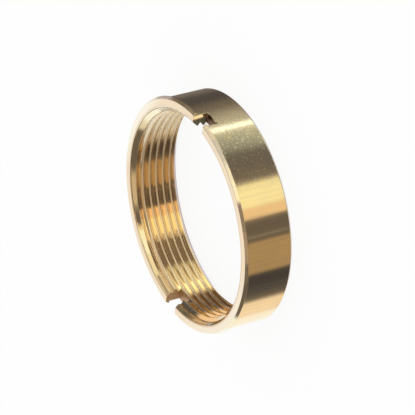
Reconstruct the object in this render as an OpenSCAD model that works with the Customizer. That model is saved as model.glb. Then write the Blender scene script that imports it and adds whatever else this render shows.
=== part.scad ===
// Slotted ring nut, turned from one piece of brass.
// The ring lies on its plain back face, with its axis along Z and the spanner slots uppermost.
// The bore is drawn at the crests of the thread, as a tapping bore, with a lead-in at either mouth.

/* [Thread] */
// Major diameter of the internal thread
thread_diameter = 42; // [12:0.5:120]
// Pitch of the thread
thread_pitch = 1.5; // [1:0.25:2]

/* [Ring] */
// Wall between the thread's major diameter and the plain barrel
wall = 2; // [1.5:0.1:8]
// Width of the ring from the back face to the slotted face
ring_width = 10.4; // [7:0.2:20]
// Size of the 45 degree break on the outer back edge
back_break = 0.45; // [0.05:0.05:0.6]

/* [Collar] */
// How far the low collar at the slotted face stands proud of the barrel
collar_height = 0.45; // [0.1:0.05:1.5]
// Width of the collar along the axis
collar_width = 0.75; // [0.6:0.05:2]
// Width of the bevel that leads from the slotted face up to the collar
bevel_width = 0.55; // [0.1:0.05:0.55]
// How far the rim of the slotted face stands proud of the barrel
face_rim = 0.05; // [0:0.05:0.1]

/* [Mouths] */
// How far the front mouth opens out beyond the crests, on the radius
front_flare = 1.3; // [0.3:0.1:2]
// Depth of the front lead-in along the axis
front_lead = 1.3; // [0.4:0.1:2.4]
// How far the back mouth opens out beyond the crests, on the radius
back_flare = 1.6; // [0.3:0.1:2]
// Depth of the back lead-in along the axis
back_lead = 1.3; // [0.4:0.1:2.4]

/* [Spanner slots] */
// Number of slots, evenly spaced round the ring
slot_count = 2; // [1:1:8]
// Width of a slot across its parallel flanks
slot_width = 3.5; // [1.5:0.5:8]
// Depth of a slot from the slotted face
slot_depth = 3; // [1:0.1:5]

/* [Hidden] */
// Fineness of the turned surfaces
$fn = 180;
// Share of the pitch between the major diameter and the crests, for a 60 degree thread
CREST_SHARE = 5 * sqrt(3) / 8;
// Overshoot of a cut past the surface that it opens
OVERCUT = 1;
// Radius of the bore at the thread's crests
crest_radius = (thread_diameter - CREST_SHARE * thread_pitch) / 2;
// Radius of the plain barrel
barrel_radius = thread_diameter / 2 + wall;
// Radius of the collar's outermost edge
collar_radius = barrel_radius + collar_height;
// Height of the collar's back edge above the back face
collar_base = ring_width - collar_width;

// Half section of the turned ring, as radius and height, anticlockwise from the back mouth
module half_section() {
    polygon([
        [crest_radius + back_flare, 0],
        [barrel_radius - back_break, 0],
        [barrel_radius, back_break],
        [barrel_radius, collar_base],
        [collar_radius, collar_base],
        [collar_radius, ring_width - bevel_width],
        [barrel_radius + face_rim, ring_width],
        [crest_radius + front_flare, ring_width],
        [crest_radius, ring_width - front_lead],
        [crest_radius, back_lead],
    ]);
}

// Straight cuts through the wall, open to the slotted face, with square floors
module spanner_slots() {
    for (turn = [0 : slot_count - 1])
        rotate(turn * 360 / slot_count)
            translate([0, -slot_width / 2, ring_width - slot_depth])
                cube([collar_radius + OVERCUT, slot_width, slot_depth + OVERCUT]);
}

module ring_nut() {
    color([0.80, 0.62, 0.30])
        difference() {
            rotate_extrude() half_section();
            spanner_slots();
        }
}

ring_nut();
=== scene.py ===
"""Looks of the slotted brass ring nut: its turned ring, its real thread, its finish and studio.

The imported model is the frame. The ring's solid has a plain bore, and the ring made here stands for
it in the same place, with the helical thread, small edge breaks and a worn, turned brass finish.
"""

import logging
import math
from dataclasses import dataclass, field
from enum import Enum

import bmesh
import bpy
import numpy as np
from mathutils import Matrix, Vector


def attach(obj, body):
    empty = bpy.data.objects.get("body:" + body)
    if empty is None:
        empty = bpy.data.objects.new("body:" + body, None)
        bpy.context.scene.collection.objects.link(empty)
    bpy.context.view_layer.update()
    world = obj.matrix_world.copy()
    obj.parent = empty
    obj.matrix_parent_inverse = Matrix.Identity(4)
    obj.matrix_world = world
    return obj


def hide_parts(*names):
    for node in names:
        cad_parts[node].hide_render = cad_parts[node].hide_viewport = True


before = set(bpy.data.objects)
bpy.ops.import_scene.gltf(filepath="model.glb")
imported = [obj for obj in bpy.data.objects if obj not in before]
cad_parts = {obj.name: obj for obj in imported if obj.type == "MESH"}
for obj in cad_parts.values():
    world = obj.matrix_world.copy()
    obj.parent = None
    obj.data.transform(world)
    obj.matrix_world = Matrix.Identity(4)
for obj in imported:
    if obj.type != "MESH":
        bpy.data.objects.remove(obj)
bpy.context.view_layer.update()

MM = 0.001
LOG = logging.getLogger("ring_nut")

Colour = tuple[float, float, float]
Span = tuple[float, float]


class Graph:
    """A node tree with one method that makes any node."""

    def __init__(self, tree: bpy.types.NodeTree) -> None:
        """Takes over an empty tree.

        Args:
            tree: The node tree that the nodes go into.
        """
        self.tree = tree
        tree.nodes.clear()

    def node(
        self, kind: str, settings: dict[str, object] | None = None, **sockets: object
    ) -> bpy.types.Node:
        """Makes a node: its settings first, then its sockets' values or links.

        Args:
            kind: The node's type, such as ShaderNodeMath.
            settings: Values of the node's own properties, such as a Math node's operation.
            sockets: Values or wires by input name, with spaces as underscores, or by the input's
                place, as `in0` or `in1`.

        Returns:
            The new node.
        """
        made = self.tree.nodes.new(kind)
        for name, value in (settings or {}).items():
            setattr(made, name, value)
        for name, value in sockets.items():
            by_place = name[:2] == "in" and name[2:].isdigit()
            self.put(made.inputs[int(name[2:]) if by_place else name.replace("_", " ")], value)
        return made

    def put(self, socket: bpy.types.NodeSocket, value: object) -> None:
        """Links a wire to a socket, or sets the socket's own value.

        Args:
            socket: The input.
            value: A wire, a number, a vector or a colour with or without its fourth value.
        """
        if isinstance(value, Wire):
            self.tree.links.new(value.socket, socket)
        elif isinstance(value, (tuple, list)) and socket.type == "RGBA":
            socket.default_value = (*value, 1.0) if len(value) == 3 else value
        else:
            socket.default_value = value

    def wire(self, node: bpy.types.Node, output: int | str = 0) -> "Wire":
        """Wraps one output of a node."""
        return Wire(self, node.outputs[output])

    def maths(self, operation: str, *values: object) -> "Wire":
        """Adds a Math node of that operation on wires or numbers."""
        inputs = {f"in{place}": value for place, value in enumerate(values)}
        return self.wire(self.node("ShaderNodeMath", {"operation": operation}, **inputs))

    def ramp(
        self, value: "Wire", low: float, high: float, start: float = 0.0, end: float = 1.0
    ) -> "Wire":
        """Smoothly carries a value from start at low to end at high, and holds it outside.

        Args:
            value: What is mapped.
            low: Value at which the result is start.
            high: Value at which the result is end.
            start: Result below low.
            end: Result above high.

        Returns:
            The mapped value.
        """
        settings = {"interpolation_type": "SMOOTHSTEP", "clamp": True}
        limits = {"From_Min": low, "From_Max": high, "To_Min": start, "To_Max": end}
        return self.wire(self.node("ShaderNodeMapRange", settings, Value=value, **limits))

    def fade(self, value: "Wire", span: Span, start: float = 0.0, end: float = 1.0) -> "Wire":
        """A ramp of a length over a span in millimetres, from start to end."""
        return self.ramp(value, span[0] * MM, span[1] * MM, start, end)

    def blend(self, factor: object, first: object, second: object) -> "Wire":
        """Mixes two colours.

        Args:
            factor: A wire or number from 0 to 1.
            first: The colour at factor 0.
            second: The colour at factor 1.

        Returns:
            The mixed colour.
        """
        settings = {"data_type": "RGBA", "clamp_factor": True}
        mix = self.node("ShaderNodeMix", settings, in0=factor, in6=first, in7=second)
        return self.wire(mix, 2)

    def noise(self, vector: "Wire", scale: float, detail: float, rough: float) -> "Wire":
        """Noise from 0 to 1 on a vector."""
        settings = {"Scale": scale, "Detail": detail, "Roughness": rough}
        return self.wire(self.node("ShaderNodeTexNoise", None, Vector=vector, **settings), "Fac")

    def stretch(self, vector: "Wire", scale: Colour) -> "Wire":
        """A vector scaled along each axis."""
        return self.wire(self.node("ShaderNodeMapping", None, Vector=vector, Scale=scale))


class Wire:
    """One output socket, on which Python's operators add Math nodes."""

    def __init__(self, graph: Graph, socket: bpy.types.NodeSocket) -> None:
        """Wraps a socket of a graph."""
        self.graph = graph
        self.socket = socket

    def __add__(self, other: object) -> "Wire":
        """self + other."""
        return self.graph.maths("ADD", self, other)

    __radd__ = __add__

    def __mul__(self, other: object) -> "Wire":
        """self * other."""
        return self.graph.maths("MULTIPLY", self, other)

    __rmul__ = __mul__

    def __sub__(self, other: object) -> "Wire":
        """self - other."""
        return self.graph.maths("SUBTRACT", self, other)

    def __rsub__(self, other: object) -> "Wire":
        """other - self."""
        return self.graph.maths("SUBTRACT", other, self)

    def __abs__(self) -> "Wire":
        """The distance from nought."""
        return self.graph.maths("ABSOLUTE", self)

    def either(self, other: object) -> "Wire":
        """The larger of the two."""
        return self.graph.maths("MAXIMUM", self, other)


def soft_above(value: np.ndarray, floor: float, softness: float) -> np.ndarray:
    """The larger of value and floor, with the corner rounded over about the softness."""
    gap = value - floor
    return floor + 0.5 * (gap + np.sqrt(gap * gap + softness * softness))


def rounded(corners: np.ndarray, radii: np.ndarray, steps: int = 3) -> np.ndarray:
    """A polyline with each inner corner replaced by an arc and a holding point to either side.

    In words: the arc is a quadratic curve from a point one radius before the corner to a point one
    radius after it, drawn towards the corner. The holding points lie on the straights, half a
    radius beyond the arc, so that smooth shading stays within the arc.

    Args:
        corners: N points (radius, height), ends included.
        radii: N lengths; the first and last aren't used.
        steps: Segments in an arc.

    Returns:
        The points of the new polyline.
    """
    path = [corners[:1]]
    share = np.linspace(0.0, 1.0, steps + 1)[:, None]
    for place in range(1, len(corners) - 1):
        point, size = corners[place], radii[place]
        before = (corners[place - 1] - point) / np.linalg.norm(corners[place - 1] - point)
        after = (corners[place + 1] - point) / np.linalg.norm(corners[place + 1] - point)
        start, end = point + before * size, point + after * size
        arc = (1 - share) ** 2 * start + 2 * share * (1 - share) * point + share**2 * end
        path += [point[None] + before * size * 1.5, arc, point[None] + after * size * 1.5]
    return np.concatenate(path + [corners[-1:]])


@dataclass(frozen=True)
class Thread:
    """The nut's internal thread: a right-hand metric form, all sizes in millimetres."""

    crest_radius: float = 20.188
    root_radius: float = 21.0
    pitch: float = 1.5
    phase: float = 0.337
    crest_share: float = 0.09
    softness: float = 0.035

    def radius(self, height: np.ndarray, turn: np.ndarray) -> np.ndarray:
        """Radius of the thread's surface.

        In words: the distance along the axis to the nearest crest line is folded into half a pitch.
        The surface is at the crest radius over a small share of a pitch to either side, climbs at
        60 degrees to the root radius, and stays there. Both corners are rounded by soft steps.

        Args:
            height: Heights along the axis.
            turn: Angles round the axis in radians, not wrapped.

        Returns:
            The radius at each point.
        """
        along = (height - self.phase) / self.pitch - turn / (2 * np.pi)
        apart = np.abs(along - np.round(along)) * self.pitch
        climb = (apart - self.pitch * self.crest_share) * math.sqrt(3)
        deep = self.root_radius - self.crest_radius
        rise = soft_above(climb, 0.0, self.softness)
        return self.crest_radius + deep - soft_above(deep - rise, 0.0, self.softness * 1.6)

    def stations(self) -> np.ndarray:
        """Where a pitch is sampled, as shares from a crest: close at corners, wide on flats."""
        half = np.array([0.0, 0.045, 0.075, 0.09, 0.11, 0.165, 0.25, 0.33, 0.375, 0.405, 0.44])
        return np.concatenate([half, [0.5], 1.0 - half[:0:-1]])


@dataclass
class Ring:
    """The whole nut: threaded bore, mouths, face, collar, barrel and back, in millimetres."""

    thread: Thread = field(default_factory=Thread)
    barrel_radius: float = 23.0
    collar_radius: float = 23.45
    rim_radius: float = 23.05
    width: float = 10.4
    collar_width: float = 0.75
    bevel_width: float = 0.55
    back_break: float = 0.45
    front_flare: float = 1.3
    front_lead: float = 1.3
    back_flare: float = 1.6
    back_lead: float = 1.3
    slot_width: float = 3.5
    slot_depth: float = 3.0
    edge: float = 0.07
    slot_edge: float = 0.10
    mouth_softness: float = 0.05
    # A radius inside the wall: what is beyond it counts as the outside.
    core_radius: float = 22.2
    # Share of a slot edge's round by which the wall draws in beside a flank.
    relief: float = 0.8
    # What lies less than this below the face counts as the face.
    face_skin: float = 0.02
    # Points that are equal when counted in this many steps a millimetre are welded.
    weld_steps: float = 20000.0
    columns: int = 400
    slot_columns: int = 9
    # Degrees beside a slot in which columns stay parallel to it, and in which they let go.
    hold: float = 1.5
    release: float = 4.5

    @property
    def floor(self) -> float:
        """Height of the slots' floor."""
        return self.width - self.slot_depth

    @property
    def cut(self) -> float:
        """Height below a slot's rounded floor edge, at which the wall is divided."""
        return self.floor - 2 * self.slot_edge

    @property
    def mean_radius(self) -> float:
        """The radius at which a column's angle is true."""
        return 0.5 * (self.barrel_radius + self.thread.crest_radius)

    @property
    def half_angle(self) -> float:
        """Half the angle that a slot takes at the mean radius."""
        return math.asin(self.slot_width / 2 / self.mean_radius)

    def bore(self, height: np.ndarray, turn: np.ndarray) -> np.ndarray:
        """Radius of the inner wall: the larger of the thread and the mouth cones, softly joined.

        Args:
            height: Heights along the axis.
            turn: Angles round the axis in radians.

        Returns:
            The radius at each point.
        """
        crest = self.thread.crest_radius
        above = height - (self.width - self.front_lead)
        front = crest + above * self.front_flare / self.front_lead
        back = crest + (self.back_lead - height) * self.back_flare / self.back_lead
        cones = np.maximum(front, back)
        wall = self.thread.radius(height, turn)
        return cones + soft_above(wall - cones, 0.0, self.mouth_softness)

    def outside(self) -> np.ndarray:
        """The profile from the front mouth over the face, collar and barrel to the back mouth.

        In words: straight lines between the corners of the turned section, each corner rounded by
        about the edge size. Both ends lie on the mouth cones, where the bore's rows take over.

        Returns:
            The points (radius, height).
        """
        e = self.edge
        mouth_front = self.thread.crest_radius + self.front_flare
        mouth_back = self.thread.crest_radius + self.back_flare
        collar_foot = self.width - self.collar_width
        corners = np.array([
            [mouth_front - 2 * e * (self.front_flare / self.front_lead), self.width - 2 * e],
            [mouth_front, self.width],
            [self.rim_radius, self.width],
            [self.collar_radius, self.width - self.bevel_width],
            [self.collar_radius, collar_foot],
            [self.barrel_radius, collar_foot],
            [self.barrel_radius, self.cut],
            [self.barrel_radius, self.back_break],
            [self.barrel_radius - self.back_break, 0.0],
            [mouth_back, 0.0],
            [mouth_back - 2 * e * (self.back_flare / self.back_lead), 2 * e],
        ])
        radii = np.array([0, e, e * 0.7, e * 0.7, e * 0.6, e, e, e, e, e, 0])
        return rounded(corners, radii)

    def outside_foot(self) -> int:
        """Which point of the outside lies on the barrel at the cut below the slots.

        Returns:
            Its place in the profile.
        """
        profile = self.outside()
        off_barrel = 10 * (profile[:, 0] < self.barrel_radius - 1e-6)
        return int(np.argmin(np.abs(profile[:, 1] - self.cut) + off_barrel))

    def slot_floor(self, turn: np.ndarray) -> np.ndarray:
        """The profile across a slot's floor, for each column, from the bore out to the barrel.

        In words: the inner edge leaves the bore at the cut, climbs ever more slowly to the floor's
        height and bulges outwards with the square of its share. The outer edge is a round corner.

        Args:
            turn: Angle of each column.

        Returns:
            Columns by rows by (radius, height).
        """
        c, floor = self.slot_edge, self.floor
        inner_foot = self.bore(np.full_like(turn, self.cut), turn)
        inner_top = self.bore(np.full_like(turn, floor), turn)
        share = np.linspace(0.0, 1.0, 5)
        bulge = 0.6 * c * share**2
        inner_arc = np.stack([
            inner_foot[:, None] + (inner_top - inner_foot)[:, None] * share + bulge,
            np.broadcast_to(floor - 2 * c * (1 - share) ** 1.6, (len(turn), len(share))),
        ], axis=-1)
        out = self.barrel_radius
        path = np.array([[out - 3.0 * c, floor], [out, floor], [out, self.cut]])
        outer = rounded(path, np.array([0, c, 0]))
        outer = np.broadcast_to(outer, (len(turn), *outer.shape))
        return np.concatenate([inner_arc, outer], axis=1)

    def inner_rows(self, turn: np.ndarray, low: float, high: float) -> np.ndarray:
        """The inner wall between two heights, on rows that follow the helix.

        In words: a row keeps its place on the thread, so its height grows by one pitch a turn. A
        row that would leave the band between low and high is held on its border, where the doubled
        points are welded later.

        Args:
            turn: Angle of each column.
            low: Lowest height.
            high: Highest height.

        Returns:
            Columns by rows by (radius, height).
        """
        pitch, phase = self.thread.pitch, self.thread.phase
        first = math.floor((low - phase) / pitch - turn.max() / (2 * np.pi)) - 1
        last = math.ceil((high - phase) / pitch - turn.min() / (2 * np.pi)) + 1
        shares = (np.arange(first, last)[:, None] + self.thread.stations()[None, :]).ravel()
        height = phase + pitch * (shares[None, :] + turn[:, None] / (2 * np.pi))
        height = np.clip(height, low, high)
        used = (height.max(axis=0) > low) & (height.min(axis=0) < high)
        height = height[:, np.r_[used[1:], True] | used | np.r_[True, used[:-1]]]
        return np.stack([self.bore(height, turn[:, None]), height], axis=-1)

    def place(self, profile: np.ndarray, turn: np.ndarray, middle: np.ndarray) -> np.ndarray:
        """Carries profiles round the axis, with the columns near a slot parallel to its flanks.

        In words: a column at angle a from a slot's middle lies on the ray of that angle far from
        the slot. Near it, each point lies where the plane at the column's distance from the slot's
        mid-plane meets the point's own radius.

        Args:
            profile: Columns by rows by (radius, height).
            turn: Angle of each column.
            middle: Angle of the nearest slot's middle, for each column.

        Returns:
            Columns by rows by (x, y, z).
        """
        radius, height = profile[..., 0], profile[..., 1]
        apart = (turn - middle)[:, None]
        even = self.plane_share(apart)
        plane = np.arcsin(np.clip(self.mean_radius * np.sin(apart) / radius, -1, 1))
        angle = middle[:, None] + even * plane + (1 - even) * apart
        return np.stack([radius * np.cos(angle), radius * np.sin(angle), height], axis=-1)

    def plane_share(self, apart: np.ndarray) -> np.ndarray:
        """How far a column is held parallel to the slot.

        In words: 1 up to the hold angle beyond the flank, and a smooth step down to 0 over the
        release angle.

        Args:
            apart: Angles from the slot's middle.

        Returns:
            Shares from 0 to 1.
        """
        near, fade = self.half_angle + math.radians(self.hold), math.radians(self.release)
        share = np.clip((near + fade - np.abs(apart)) / fade, 0, 1)
        return share * share * (3 - 2 * share)

    def relieve(self, profile: np.ndarray, away: np.ndarray) -> np.ndarray:
        """Breaks the slots' flank edges: the profile shrinks into the metal next to a flank.

        In words: within the edge size of the flank plane the wall draws in by the height of a
        quarter round. The outside moves in, the bore moves out, the face moves down, and below the
        slot's floor nothing moves.

        Args:
            profile: Columns by rows by (radius, height).
            away: Each column's distance from the flank plane.

        Returns:
            The relieved profile.
        """
        c = self.slot_edge
        left = np.clip(c - away, 0, c)
        drop = (c - np.sqrt(np.clip(c * c - left * left, 0, None)))[:, None] * self.relief
        radius, height = profile[..., 0], profile[..., 1]
        mouth = self.thread.crest_radius + self.front_flare
        across = np.clip((radius - mouth) / (self.rim_radius - mouth), 0, 1)
        wall = np.where(radius > self.core_radius, -1.0, 1.0)
        outward = np.where(height > self.width - self.face_skin, 1 - 2 * across, wall)
        down = np.where(height > self.width - self.edge, 1.0, 0.0)
        gate = np.clip((height - self.cut) / (2 * c), 0, 1)
        return np.stack([radius + drop * outward * gate, height - drop * down * gate], axis=-1)

    def body_arc(self, centre: float) -> list[np.ndarray]:
        """The wall from one slot's flank to the next slot's.

        In words: the columns stand at set distances from a flank and evenly in between, and each
        carries the whole profile, relieved beside the flanks.

        Args:
            centre: Angle of the middle of the slot that the arc starts at.

        Returns:
            The bore below and above the cut, and the outside, each columns by rows by (x, y, z).
        """
        steps = np.array([0.0, 0.25, 0.5, 0.75, 1.0, 1.6, 3.0]) * self.slot_edge
        near = np.arcsin((self.slot_width / 2 + steps) / self.mean_radius) - self.half_angle
        length = math.pi - 2 * self.half_angle
        plain = np.linspace(near[-1], length - near[-1], self.columns // 2 - 2 * len(near))
        local = np.concatenate([near[:-1], plain, (length - near[::-1])[1:]])
        turn = centre + self.half_angle + local
        away = np.minimum(local, length - local) * self.mean_radius
        away = np.where(away < 1.0, np.interp(away, near * self.mean_radius, steps), away)
        middle = np.where(local < length / 2, centre, centre + math.pi)
        outside = self.outside()
        parts = (
            self.inner_rows(turn, 2 * self.edge, self.cut),
            self.inner_rows(turn, self.cut, self.width - 2 * self.edge),
            np.broadcast_to(outside, (len(turn), *outside.shape)),
        )
        return [self.place(self.relieve(part, away), turn, middle) for part in parts]

    def slot_arc(self, centre: float) -> list[np.ndarray]:
        """The wall below one slot, on columns evenly spaced across it.

        Args:
            centre: Angle of the slot's middle.

        Returns:
            The bore, the slot's floor and the outside, each columns by rows by (x, y, z).
        """
        across = np.linspace(-self.slot_width / 2, self.slot_width / 2, self.slot_columns)
        turn = centre + np.arcsin(across / self.mean_radius)
        tail = self.outside()[self.outside_foot() :]
        parts = (
            self.inner_rows(turn, 2 * self.edge, self.cut),
            self.slot_floor(turn),
            np.broadcast_to(tail, (len(turn), *tail.shape)),
        )
        return [self.place(part, turn, np.full_like(turn, centre)) for part in parts]

    def flank(self, body: list[np.ndarray], column: int, centre: float, side: int) -> np.ndarray:
        """The outline of one flat slot flank: up the bore, over the face, down, and back inwards.

        Args:
            body: The parts of the body arc that meets the flank.
            column: Which of its columns lies on the flank.
            centre: Angle of the slot's middle.
            side: 1 for the flank at the larger angle, -1 for the other.

        Returns:
            The points (x, y, z) in order.
        """
        turn = np.array([centre + side * self.half_angle])
        floor_line = self.place(self.slot_floor(turn), turn, np.array([centre]))[0]
        outside = body[2][column, : self.outside_foot() + 1]
        return np.concatenate([body[1][column], outside, floor_line[::-1]])

    def build(self) -> bpy.types.Object:
        """Makes the closed ring mesh.

        In words: two body arcs carry the whole profile and two slot arcs carry the profile cut off
        at the slot's floor. Each slot flank is one flat face between the two. Points that fall on
        each other are welded, and faces that shrink to a line are dropped.

        Returns:
            The ring's object, in metres.
        """
        sheets: list[np.ndarray] = []
        flanks: list[np.ndarray] = []
        for centre in (0.0, math.pi):
            body = self.body_arc(centre)
            sheets += [self.sheet(body), self.sheet(self.slot_arc(centre))]
            flanks += [self.flank(body, 0, centre, 1), self.flank(body, -1, centre + math.pi, -1)]
        return self.weld(np.concatenate(sheets), flanks)

    def sheet(self, parts: list[np.ndarray]) -> np.ndarray:
        """Joins profile parts end to end into one closed sheet.

        Args:
            parts: Columns by rows by (x, y, z), in order round the profile.

        Returns:
            The quads, each as four corner points.
        """
        grid = np.concatenate([*parts, parts[0][:, :1]], axis=1)
        quads = np.stack([grid[:-1, :-1], grid[1:, :-1], grid[1:, 1:], grid[:-1, 1:]], axis=2)
        return quads.reshape(-1, 4, 3)

    def weld(self, quads: np.ndarray, flanks: list[np.ndarray]) -> bpy.types.Object:
        """Merges equal points, drops empty faces and makes the object.

        In words: a quad with no edge of length nought stays, one with a single such edge becomes a
        triangle, and the others are dropped.

        Args:
            quads: Quads by their corner points.
            flanks: Outlines of the flat slot flanks.

        Returns:
            The ring's object.
        """
        points = np.concatenate([quads.reshape(-1, 3), *flanks])
        keys = np.round(points * self.weld_steps).astype(np.int64)
        _, first, index = np.unique(keys, axis=0, return_index=True, return_inverse=True)
        index = index.ravel()
        corners = index[: len(quads) * 4].reshape(-1, 4)
        same = corners == np.roll(corners, -1, axis=1)
        faces = [tuple(row) for row in corners[~same.any(axis=1)].tolist()]
        partly = corners[same.sum(axis=1) == 1]
        keep = ~(partly == np.roll(partly, -1, axis=1))
        faces += [tuple(row) for row in partly[keep].reshape(-1, 3).tolist()]
        smooth = len(faces)
        start = len(quads) * 4
        for outline in flanks:
            loop = index[start : start + len(outline)]
            start += len(outline)
            faces.append(tuple(loop[loop != np.roll(loop, -1)].tolist()))
        mesh = bpy.data.meshes.new("ring_nut_dressed")
        mesh.from_pydata((points[first] * MM).tolist(), [], faces)
        mesh.polygons.foreach_set("use_smooth", np.arange(len(faces)) < smooth)
        mesh.validate()
        mesh.update()
        self.turn_outward(mesh)
        made = bpy.data.objects.new("ring_nut_dressed", mesh)
        bpy.context.scene.collection.objects.link(made)
        return made

    def turn_outward(self, mesh: bpy.types.Mesh) -> None:
        """Gives all faces one outward direction and reports whether the mesh is closed.

        Args:
            mesh: The welded mesh.
        """
        work = bmesh.new()
        work.from_mesh(mesh)
        bmesh.ops.recalc_face_normals(work, faces=work.faces[:])
        loose = sum(1 for edge in work.edges if not edge.is_manifold)
        LOG.info("ring mesh: %d faces, %d open edges", len(work.faces), loose)
        work.to_mesh(mesh)
        work.free()
        mesh.update()


@dataclass(frozen=True)
class Patterns:
    """The brass's irregular patterns: noise from 0 to 1 on Object coordinates."""

    grain: Wire
    specks: Wire
    patches: Wire
    smudges: Wire
    drawn: Wire

    @classmethod
    def on(cls, g: Graph, place: Wire) -> "Patterns":
        """Makes the noises. `drawn` is long along the axis, as marks left by a sleeve are.

        Args:
            g: The graph.
            place: Object coordinates.

        Returns:
            The patterns.
        """
        return cls(
            grain=g.noise(place, 2400.0, 3.0, 0.7),
            specks=g.noise(place, 2300.0, 2.0, 0.6),
            patches=g.noise(place, 160.0, 3.0, 0.6),
            smudges=g.noise(place, 420.0, 4.0, 0.7),
            drawn=g.noise(g.stretch(place, (1700.0, 1700.0, 50.0)), 1.0, 3.0, 0.6),
        )


@dataclass(frozen=True)
class Borders:
    """Where the finish, the painted light and the painted shade change: a mask is 0 at a pair's
    first value and 1 at its second.

    Lengths are in millimetres. Turns are angles round the axis in radians, from the first slot.
    """

    bore_radius: Span = (21.9, 21.6)
    cone_drop: Span = (-11.12, -11.22)
    groove_radius: Span = (20.80, 20.95)
    crest_radius: Span = (20.27, 20.21)
    crest_far: Span = (-4.0, 1.0)
    flank: Span = (1.80, 1.76)
    slot_height: Span = (7.30, 7.37)
    first_half: Span = (0.0, 1.0)
    cake_height: Span = (7.60, 7.42)
    cake_radius: Span = (22.95, 22.75)
    scrape: Span = (0.60, 0.25)
    shade: Span = (-0.35, -0.80)
    tilt: Span = (-0.6, 0.6)
    barrel_radius: Span = (22.7, 22.9)
    worn_side: Span = (16.0, 20.0)
    patch_start: Span = (-0.20, -0.28)
    patch_end: Span = (-0.62, -0.50)
    inside_turn: Span = (0.15, 0.30)
    satin_bore: Span = (1.54, 1.22)
    satin_cone: Span = (0.80, 0.68)
    frost_bore: Span = (1.08, 0.95)
    face_height: Span = (10.33, 10.37)
    polish_one: Span = (18.5, 22.4)
    polish_two: Span = (15.0, 21.5)


@dataclass(frozen=True)
class Regions:
    """Where each state of the brass and each painted highlight or shade lies, as masks from 0 to 1.
    """

    bore: Wire
    groove: Wire
    crest: Wire
    slot: Wire
    caked: Wire
    scraped: Wire
    shaded: Wire
    tilted: Wire
    barrel: Wire
    worn: Wire
    patch: Wire
    satin: Wire
    frosted: Wire
    polished: Wire

    @classmethod
    def on(cls, g: Graph, place: Wire, pattern: Patterns, at: Borders) -> "Regions":
        """Makes the masks from the point's own place on the ring.

        Args:
            g: The graph.
            place: Object coordinates.
            pattern: The noises, of which the smudges fray a border.
            at: The borders.

        Returns:
            The masks.
        """
        split = g.node("ShaderNodeSeparateXYZ", None, Vector=place)
        x, y, z = (g.wire(split, axis) for axis in "XYZ")
        radius = g.maths("SQRT", x * x + y * y)
        turn = g.maths("ARCTAN2", y, x)
        # The tapped bore ends where the front mouth's 45 degree cone starts.
        inside = g.fade(radius, at.bore_radius)
        bore = inside * g.fade(z - radius, at.cone_drop)
        # The crests are what the boring tool left, rougher than the tapped flanks.
        crest = bore * g.fade(radius, at.crest_radius) * g.fade(y, at.crest_far, 0.25, 1.0)
        # The slots are milled and dull between their flanks, and their floors carry painted shade,
        # weaker in the second slot.
        slot = g.fade(abs(y), at.flank) * g.fade(z, at.slot_height)
        first = g.fade(x, at.first_half)
        caked = slot * g.fade(z, at.cake_height) * g.fade(radius, at.cake_radius)
        # In the first slot the flank has a painted highlight along a slant, over a bump that tilts
        # it, and painted shade towards the bore. The slant leans by 0.08 and meets the face at a
        # radius of 22.4 mm.
        slant = (x - 22.4 * MM) - (10.4 * MM - z) * 0.08
        # The barrel is handled and grainy on the side of the first slot, and clean elsewhere. On
        # that side a patch of the tarnish colour with a ragged border paints a dark reflection band
        # beside the barrel's bright line.
        barrel = g.fade(radius, at.barrel_radius)
        worn = barrel * g.fade(x, at.worn_side)
        ragged = turn + (pattern.smudges - 0.5) * 0.5
        # The bore and the mouth are satin beside the first slot.
        beside = inside * g.ramp(turn, *at.inside_turn)
        satin_cone = (1.0 - bore) * g.ramp(turn, *at.satin_cone)
        satin = beside * (bore * g.ramp(turn, *at.satin_bore) + satin_cone)
        # The slotted face has painted sheen in two stretches, found by their distance along a
        # direction.
        one = g.fade(x * 0.375 + y * 0.927, at.polish_one)
        two = g.fade(x * -0.57 + y * -0.82, at.polish_two)
        return cls(
            bore=bore,
            groove=bore * g.fade(radius, at.groove_radius),
            crest=crest,
            slot=slot,
            # Painted shade on the slots' floors, weaker in the second slot.
            caked=caked * (0.45 + 0.55 * first),
            # Painted highlight along a band of the first slot's flank.
            scraped=slot * first * g.fade(abs(slant), at.scrape),
            # Painted shade on the first slot's flank towards the bore.
            shaded=slot * first * g.fade(slant, at.shade),
            tilted=slot * first * g.fade(slant, at.tilt),
            barrel=barrel,
            worn=worn,
            # Painted dark reflection band beside the barrel's bright line, with a tarnish-like
            # ragged border.
            patch=worn * g.ramp(ragged, *at.patch_start) * g.ramp(ragged, *at.patch_end),
            satin=satin,
            frosted=satin * (1.0 - bore * g.ramp(turn, *at.frost_bore)),
            # Painted sheen on two stretches of the slotted face.
            polished=g.fade(z, at.face_height) * (one + two * 0.6),
        )


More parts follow.
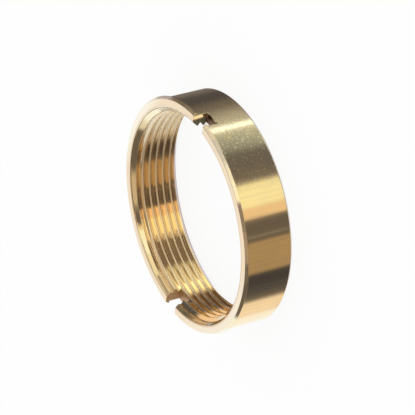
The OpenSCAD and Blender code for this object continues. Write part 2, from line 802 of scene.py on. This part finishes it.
@dataclass(frozen=True)
class TurnedBrass:
    """Turned, lightly worn brass, bright where it was cut and duller on the barrel's upper part,
    with painted highlights and painted shade in places.
    """

    base: Colour = (0.93, 0.76, 0.44)
    dull: Colour = (0.80, 0.68, 0.44)
    # Painted shade in the groove roots.
    residue: Colour = (0.62, 0.42, 0.22)
    milled: Colour = (0.95, 0.68, 0.38)
    # Painted shade on the slots' floors.
    caked: Colour = (0.26, 0.155, 0.078)
    # Painted shade on the first slot's flank towards the bore.
    shaded: Colour = (0.34, 0.36, 0.24)
    # Painted highlight on a band of the first slot's flank.
    scraped: Colour = (1.0, 0.86, 0.48)
    tarnish: Colour = (0.62, 0.57, 0.42)
    flushed: Colour = (0.90, 0.70, 0.50)
    frost: Colour = (1.0, 0.94, 0.74)
    bore: Colour = (1.0, 0.83, 0.56)
    # Painted sheen on two stretches of the slotted face.
    polished: Colour = (1.0, 0.93, 0.64)
    crest: Colour = (1.0, 0.80, 0.50)
    roughness: float = 0.10
    bore_roughness: float = 0.06
    crest_roughness: float = 0.30
    milled_roughness: float = 0.50
    # Height of the bump in metres at a pattern's full strength.
    bump: float = 0.00002

    def tint(self, g: Graph, on: Regions, pattern: Patterns) -> Wire:
        """The colour: layers over the base, each by its mask times its strength.

        Args:
            g: The graph.
            on: The masks.
            pattern: The noises.

        Returns:
            The base colour.
        """
        clean = on.barrel - on.worn
        layers = (
            (g.ramp(pattern.patches, 0.4, 0.7) * 0.5, self.dull),
            (clean * g.ramp(pattern.smudges, 0.50, 0.68) * 0.5, self.flushed),
            (clean * g.ramp(pattern.drawn, 0.46, 0.66) * 0.30, self.tarnish),
            (on.worn * g.ramp(pattern.grain, 0.58, 0.40) * 0.6, self.tarnish),
            # Painted dark reflection band beside the barrel's bright line, with a tarnish-like
            # ragged border.
            (on.patch * 0.55, self.tarnish),
            # Painted sheen on two stretches of the slotted face.
            (on.polished, self.polished),
            (on.bore, self.bore),
            (on.frosted * 0.65, self.frost),
            (on.crest, self.crest),
            # The groove's root is darkened by a line of painted shade.
            (on.groove * (0.70 - on.satin * 0.40), self.residue),
            (on.slot, self.milled),
            # Painted shade and a painted highlight on the first slot's flank.
            (on.shaded, self.shaded),
            (on.scraped, self.scraped),
            # Painted shade on the slots' floors.
            (on.caked, self.caked),
        )
        colour: object = self.base
        for mask, layer in layers:
            colour = g.blend(mask, colour, layer)
        return colour

    def rough(self, g: Graph, on: Regions, pattern: Patterns) -> Wire:
        """The roughness: the barrel's own, changed in each region by its difference.

        Args:
            g: The graph.
            on: The masks.
            pattern: The noises.

        Returns:
            The roughness.
        """
        specked = on.worn * g.ramp(pattern.specks, 0.56, 0.76)
        rough = self.roughness + on.worn * 0.03 + specked * 0.24
        rough = rough + on.bore * (self.bore_roughness - self.roughness)
        rough = rough + on.crest * (self.crest_roughness - self.bore_roughness) + on.satin * 0.16
        return rough + on.slot * (self.milled_roughness - self.roughness) - on.scraped * 0.36

    def height(self, on: Regions, pattern: Patterns) -> Wire:
        """The bump's height: fine grain, more of it where worn, and the tilt of the first slot's
        flank under its painted highlight.

        Args:
            on: The masks.
            pattern: The noises.

        Returns:
            The height as a share of the bump.
        """
        fine = pattern.grain * (0.02 - on.bore * 0.02 + on.worn * 0.10)
        marks = pattern.specks * on.worn * 0.10 + pattern.drawn * on.barrel * 0.06
        return fine + marks + on.tilted * 14.0

    def material(self) -> bpy.types.Material:
        """Makes the node material on Object coordinates.

        Returns:
            The material.
        """
        made = bpy.data.materials.new("turned_brass")
        made.use_nodes = True
        g = Graph(made.node_tree)
        place = g.wire(g.node("ShaderNodeTexCoord"), "Object")
        pattern = Patterns.on(g, place)
        on = Regions.on(g, place, pattern, Borders())
        height = self.height(on, pattern)
        bump = g.node("ShaderNodeBump", None, Strength=1.0, Distance=self.bump, Height=height)
        shader = g.node(
            "ShaderNodeBsdfPrincipled",
            None,
            Base_Color=self.tint(g, on, pattern),
            Metallic=1.0 - (on.crest * 0.32).either(on.satin * 0.55),
            Roughness=self.rough(g, on, pattern),
            Normal=g.wire(bump),
        )
        g.node("ShaderNodeOutputMaterial", None, Surface=g.wire(shader))
        return made


class Tone(Enum):
    """Brightness and tint of what the metal mirrors, 1 being a white card in plain light."""

    CREAM = (1.04, 1.04, 1.04)
    PORCELAIN = (0.97, 0.96, 1.14)
    GLINT = (1.70, 1.85, 2.00)
    WHITE = (1.08, 1.24, 1.62)
    IVORY = (1.24, 1.34, 1.15)
    SNOW = (1.06, 1.18, 1.36)
    PEARL = (0.66, 0.67, 0.84)
    PEACH = (1.00, 0.86, 0.74)
    STRAW = (1.06, 1.12, 1.10)
    FLAX = (1.25, 1.20, 1.15)
    HONEY = (1.00, 0.94, 0.76)
    GOLD = (1.07, 1.02, 0.72)
    AMBER = (0.95, 0.72, 0.49)
    SAND = (0.93, 0.88, 0.92)
    LINEN = (0.86, 0.84, 0.84)
    MIST = (0.55, 0.53, 0.50)
    PEWTER = (0.52, 0.50, 0.66)
    TAN = (0.62, 0.53, 0.44)
    COPPER = (0.64, 0.47, 0.36)
    APRICOT = (0.92, 0.68, 0.46)
    BROWN = (0.44, 0.32, 0.20)
    RUSSET = (0.43, 0.35, 0.30)
    GREY = (0.44, 0.38, 0.34)
    UMBER = (0.30, 0.26, 0.25)
    OLIVE = (0.20, 0.175, 0.165)
    BARK = (0.155, 0.135, 0.13)
    DARK = (0.095, 0.09, 0.10)
    PLUM = (0.11, 0.080, 0.075)
    DEEP = (0.070, 0.065, 0.075)


@dataclass(frozen=True)
class Card:
    """A soft-edged card of the studio, by the direction in which the metal sees it, in degrees."""

    tone: Tone
    azimuth: float
    width: float
    low: float = -90.0
    high: float = 90.0
    blur: float = 6.0
    rise: float = 6.0

    def mask(self, g: Graph, azimuth: Wire, level: Wire) -> Wire:
        """Where the card is seen: 1 inside its width and height, with a soft border.

        In words: the angle from the card's middle, wrapped to half a turn, is compared with half
        its width, and the elevation with its low and high edges.

        Args:
            g: The graph.
            azimuth: Azimuth of the direction, in radians.
            level: Elevation of the direction, in radians.

        Returns:
            The mask.
        """
        apart = abs(g.maths("WRAP", azimuth - math.radians(self.azimuth), math.pi, -math.pi))
        half, soft = math.radians(self.width / 2), math.radians(self.blur / 2)
        shape = g.ramp(apart, half + soft, half - soft)
        soft = math.radians(self.rise / 2)
        if self.low > -90.0:
            low = math.radians(self.low)
            shape = shape * g.ramp(level, low - soft, low + soft)
        if self.high < 90.0:
            high = math.radians(self.high)
            shape = shape * g.ramp(level, high + soft, high - soft)
        return shape


@dataclass(frozen=True)
class Shot:
    """The photograph's camera, in millimetres and degrees."""

    lens: float = 260.24
    sensor: float = 36.0
    distance: float = 575.4
    azimuth: float = -46.27
    elevation: float = 26.507
    roll: float = 104.24
    centre: Colour = (0.0, 0.0, 5.3)
    aim_right: float = 0.10
    aim_up: float = 0.635
    nearest: float = 10.0
    farthest: float = 20000.0

    def matrix(self) -> Matrix:
        """The camera's place and turn.

        In words: the camera stands at its distance from the middle of the ring, turned to its
        azimuth and elevation and rolled about its line of sight, and its aim is moved in its own
        plane by the part's small offset from the middle of the picture.

        Returns:
            The matrix, in metres.
        """
        a, e, r = (math.radians(v) for v in (self.azimuth, self.elevation, self.roll))
        toward = Vector((math.cos(a) * math.cos(e), math.sin(a) * math.cos(e), math.sin(e)))
        forward = -toward
        side = forward.cross(Vector((0, 0, 1))).normalized()
        upright = side.cross(forward)
        up = math.cos(r) * upright + math.sin(r) * side
        right = forward.cross(up)
        aim = Vector(self.centre) + self.aim_right * right + self.aim_up * up
        place = aim + self.distance * toward
        turn = Matrix((right, up, toward)).transposed().to_4x4()
        return Matrix.Translation(place * MM) @ turn


@dataclass
class Studio:
    """World, floor and camera round the nut."""

    cards: tuple[Card, ...] = (
        # Bands up to the horizon and a little above it, which the barrel and the thread mirror.
        Card(Tone.CREAM, 155.0, 62.0, high=34.0, blur=10.0, rise=14.0),
        Card(Tone.PEARL, 131.0, 62.0, high=-34.0, blur=8.0),
        Card(Tone.PEACH, -168.0, 28.0, high=-22.0, blur=8.0),
        Card(Tone.BARK, -139.0, 32.0, high=30.0, blur=12.0),
        Card(Tone.DARK, -131.5, 29.0, high=0.0, blur=12.0),
        Card(Tone.DEEP, -128.0, 13.0, high=0.0, blur=8.0),
        Card(Tone.CREAM, -163.0, 38.0, low=-19.0, high=5.0, blur=22.0),
        Card(Tone.BROWN, -102.5, 35.0, high=-25.0, blur=4.0, rise=2.0),
        Card(Tone.BROWN, -101.0, 26.0, low=-25.0, high=25.0, blur=3.0, rise=2.0),
        Card(Tone.BARK, -77.0, 20.0, high=30.0, blur=3.0),
        Card(Tone.AMBER, -58.5, 11.5, high=30.0, blur=2.5),
        Card(Tone.GOLD, -42.5, 22.0, high=30.0, blur=3.0),
        Card(Tone.GOLD, -35.0, 7.0, high=30.0, blur=2.0),
        Card(Tone.MIST, 35.0, 35.0, high=0.0, blur=26.0),
        Card(Tone.GLINT, 31.0, 6.0, high=0.0, blur=3.0),
        Card(Tone.TAN, -29.6, 1.6, high=30.0, blur=1.2),
        Card(Tone.UMBER, -81.5, 1.8, high=30.0, blur=2.0),
        Card(Tone.DARK, 86.0, 28.0, high=0.0, blur=18.0),
        # The high ring, which the mouth cone and the bevel mirror.
        Card(Tone.SNOW, 172.0, 44.0, low=3.0, high=20.0),
        Card(Tone.LINEN, 168.0, 48.0, low=20.0, high=58.0),
        Card(Tone.RUSSET, -173.0, 12.0, low=31.0, high=58.0),
        Card(Tone.WHITE, 158.0, 44.0, low=-21.0, high=3.0),
        Card(Tone.BARK, -149.0, 40.0, low=16.0),
        Card(Tone.RUSSET, -93.0, 34.0, low=27.0, high=47.0),
        Card(Tone.TAN, -103.0, 42.0, low=47.0, blur=12.0),
        Card(Tone.UMBER, -61.0, 30.0, low=30.0),
        Card(Tone.STRAW, -24.0, 44.0, low=27.0),
        Card(Tone.FLAX, -23.0, 42.0, low=27.0, high=49.0),
        Card(Tone.BARK, -63.0, 20.0, low=54.0, high=76.0),
        Card(Tone.AMBER, -46.5, 7.0, low=52.0, high=74.0, blur=3.0),
        Card(Tone.SAND, 18.0, 42.0, low=25.0, high=43.0),
        Card(Tone.SAND, 37.0, 14.0, low=23.0, high=36.0),
        Card(Tone.HONEY, 12.0, 28.0, low=43.0),
        Card(Tone.GREY, 45.0, 34.0, low=40.0),
        Card(Tone.GREY, 55.0, 11.0, low=17.0),
        Card(Tone.OLIVE, 70.0, 26.0, low=0.0),
        Card(Tone.UMBER, 62.0, 10.0, low=8.0, high=24.0),
        Card(Tone.DARK, 86.0, 26.0, low=27.0, high=50.0),
        Card(Tone.COPPER, 98.0, 28.0, low=8.0, high=28.0),
        Card(Tone.APRICOT, 107.0, 16.0, low=10.0, high=32.0),
        Card(Tone.PEWTER, 97.0, 20.0, low=-10.0, high=8.0),
        Card(Tone.PORCELAIN, 116.0, 18.0, low=-23.0, high=-5.0),
        Card(Tone.PORCELAIN, 134.0, 24.0, low=14.0, high=40.0),
        Card(Tone.LINEN, 120.0, 15.0, low=-5.0, high=20.0),
        # Overhead, which the first groove beside the mouth mirrors.
        Card(Tone.BROWN, -150.0, 60.0, low=62.0, blur=20.0),
        Card(Tone.HONEY, -14.0, 60.0, low=76.0, blur=20.0),
        Card(Tone.TAN, 62.0, 40.0, low=50.0, blur=20.0),
        # The rings above and below the barrel's own, which the thread's flanks mirror.
        Card(Tone.MIST, -30.5, 8.0, high=-30.0, blur=2.0, rise=2.0),
        Card(Tone.IVORY, 21.5, 37.0, low=-24.0, high=-8.0, blur=8.0, rise=2.0),
        Card(Tone.HONEY, 18.0, 26.0, low=-8.0, high=24.0, blur=8.0),
        Card(Tone.IVORY, 17.5, 27.0, high=-29.0, blur=8.0, rise=2.0),
        Card(Tone.PLUM, 64.0, 42.0, low=-24.0, high=2.0, blur=8.0, rise=4.0),
        Card(Tone.PLUM, 58.0, 36.0, high=-31.0, blur=8.0, rise=2.0),
        Card(Tone.DARK, -77.0, 20.0, high=-30.0, blur=3.0, rise=2.0),
    )
    backdrop: Tone = Tone.OLIVE
    overhead: Tone = Tone.UMBER
    # Elevations between which the overhead tone sets in, in degrees.
    zenith: Span = (82.0, 88.0)
    white: Colour = (1.0, 1.0, 1.0)
    plain: Colour = (0.95, 0.95, 0.95)
    # The floor's half width and depth below the nut, in metres.
    floor_reach: float = 4.0
    floor_gap: float = 2e-5
    # Share of the floor that is pure white to the camera; the rest keeps the shadow.
    floor_white: float = 0.9

    def world(self) -> None:
        """Makes the world: white to the camera, plain to matt surfaces, cards to the metal."""
        made = bpy.data.worlds.new("studio")
        made.use_nodes = True
        g = Graph(made.node_tree)
        look = g.wire(g.node("ShaderNodeTexCoord"), "Generated")
        split = g.node("ShaderNodeSeparateXYZ", None, Vector=look)
        x, y, z = (g.wire(split, axis) for axis in "XYZ")
        azimuth = g.maths("ARCTAN2", y, x)
        level = g.maths("ARCSINE", g.maths("MINIMUM", z.either(-1.0), 1.0))
        colour: object = self.backdrop.value
        for card in self.cards:
            colour = g.blend(card.mask(g, azimuth, level), colour, card.tone.value)
        top = g.ramp(level, *(math.radians(edge) for edge in self.zenith))
        colour = g.blend(top, colour, self.overhead.value)
        path = g.node("ShaderNodeLightPath")
        seen = g.blend(g.wire(path, "Is Glossy Ray"), self.plain, colour)
        seen = g.blend(g.wire(path, "Is Camera Ray"), seen, self.white)
        back = g.node("ShaderNodeBackground", None, Color=seen, Strength=1.0)
        g.node("ShaderNodeOutputWorld", None, Surface=g.wire(back))
        bpy.context.scene.world = made

    def floor(self) -> bpy.types.Object:
        """Makes the pale floor, which keeps a faint soft shadow and which the metal doesn't mirror.

        Returns:
            The floor's object.
        """
        side, low = self.floor_reach, -self.floor_gap
        mesh = bpy.data.meshes.new("floor")
        corners = [(-side, -side, low), (side, -side, low), (side, side, low), (-side, side, low)]
        mesh.from_pydata(corners, [], [(0, 1, 2, 3)])
        made = bpy.data.objects.new("floor", mesh)
        bpy.context.scene.collection.objects.link(made)
        made.visible_glossy = False
        finish = bpy.data.materials.new("pale_floor")
        finish.use_nodes = True
        g = Graph(finish.node_tree)
        matt = g.wire(g.node("ShaderNodeBsdfDiffuse", None, Color=self.plain))
        white = g.wire(g.node("ShaderNodeEmission", None, Color=self.white, Strength=1.0))
        camera = g.wire(g.node("ShaderNodeLightPath"), "Is Camera Ray")
        share = camera * self.floor_white
        mixed = g.node("ShaderNodeMixShader", None, in0=share, in1=matt, in2=white)
        g.node("ShaderNodeOutputMaterial", None, Surface=g.wire(mixed))
        mesh.materials.append(finish)
        return made

    def camera(self) -> bpy.types.Object:
        """Makes the camera at the photograph's viewing angle.

        Returns:
            The camera's object.
        """
        shot = Shot()
        data = bpy.data.cameras.new("camera")
        data.sensor_fit = "HORIZONTAL"
        data.sensor_width = shot.sensor
        data.lens = shot.lens
        data.clip_start, data.clip_end = shot.nearest * MM, shot.farthest * MM
        made = bpy.data.objects.new("camera", data)
        bpy.context.scene.collection.objects.link(made)
        made.matrix_world = shot.matrix()
        bpy.context.scene.camera = made
        return made


def main() -> None:
    """Builds the ring and its studio in order and reports each."""
    logging.basicConfig(level=logging.INFO, format="%(message)s")
    ring = Ring().build()
    ring.data.materials.append(TurnedBrass().material())
    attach(ring, "root")
    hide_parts("ring_nut")
    LOG.info("%s: %d vertices", ring.name, len(ring.data.vertices))
    studio = Studio()
    studio.world()
    LOG.info("%s: floor made", studio.floor().name)
    LOG.info("%s: camera made", studio.camera().name)
    bpy.context.scene.view_settings.view_transform = "Standard"


if __name__ == "__main__":
    main()
